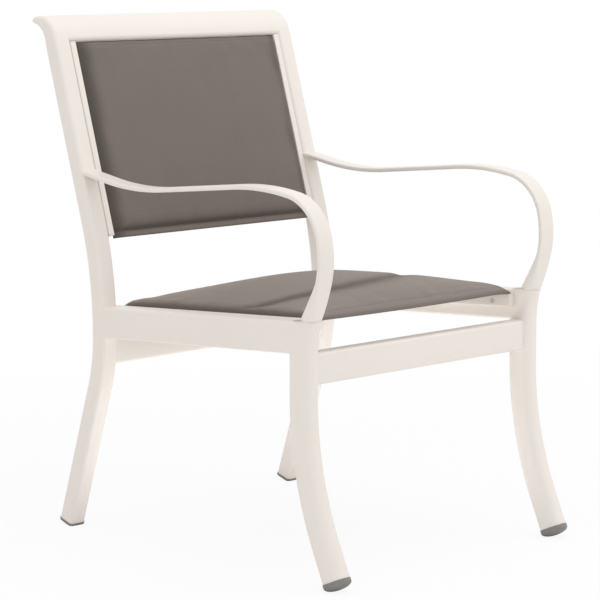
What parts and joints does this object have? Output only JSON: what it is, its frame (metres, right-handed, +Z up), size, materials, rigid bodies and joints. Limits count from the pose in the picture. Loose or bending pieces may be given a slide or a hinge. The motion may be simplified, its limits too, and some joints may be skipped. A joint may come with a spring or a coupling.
{
  "type": "sling patio armchair",
  "caption": "Low patio armchair: powder-coated metal frame with swept legs, strap arms and a rolled crest rail, with padded sling seat and back panels.",
  "frame": {"origin": "on the floor, under the middle of the chair's bounding box", "axes": "+Z up, -Y toward the front of the chair, +X toward the right side as seen from the front"},
  "size_m": [0.584, 0.7772, 0.9185],
  "materials": {
    "frame": "smooth warm-white powder coat, semi-gloss",
    "sling": "woven vinyl-coated polyester, warm grey",
    "glide": "moulded nylon, dark grey",
    "spline": "extruded rod, black",
    "screw": "stainless steel"
  },
  "bodies": {
    "root": {"back_post_left": "frame", "back_post_right": "frame", "front_leg_left": "frame", "front_leg_right": "frame", "arm_left": "frame", "arm_right": "frame", "crest_rail": "frame", "seat_side_rail_left": "frame", "seat_side_rail_right": "frame", "front_stretcher": "frame", "rear_stretcher": "frame", "back_sling_rail_left": "frame", "back_sling_rail_right": "frame", "seat_sling_rail_left": "frame", "seat_sling_rail_right": "frame", "back_rail_cap_front_left": "frame", "back_rail_cap_front_right": "frame", "seat_rail_cap_front_left": "frame", "seat_rail_cap_front_right": "frame", "seat_rail_cap_rear_left": "frame", "seat_rail_cap_rear_right": "frame", "back_sling": "sling", "seat_sling": "sling", "back_spline_left": "spline", "back_spline_right": "spline", "seat_spline_left": "spline", "seat_spline_right": "spline", "back_screw_left_1": "screw", "back_screw_left_2": "screw", "back_screw_right_1": "screw", "back_screw_right_2": "screw", "seat_screw_left_1": "screw", "seat_screw_left_2": "screw", "seat_screw_left_3": "screw", "seat_screw_right_1": "screw", "seat_screw_right_2": "screw", "seat_screw_right_3": "screw", "front_glide_left": "glide", "front_glide_right": "glide", "rear_glide_left": "glide", "rear_glide_right": "glide"}
  },
  "joints": []
}
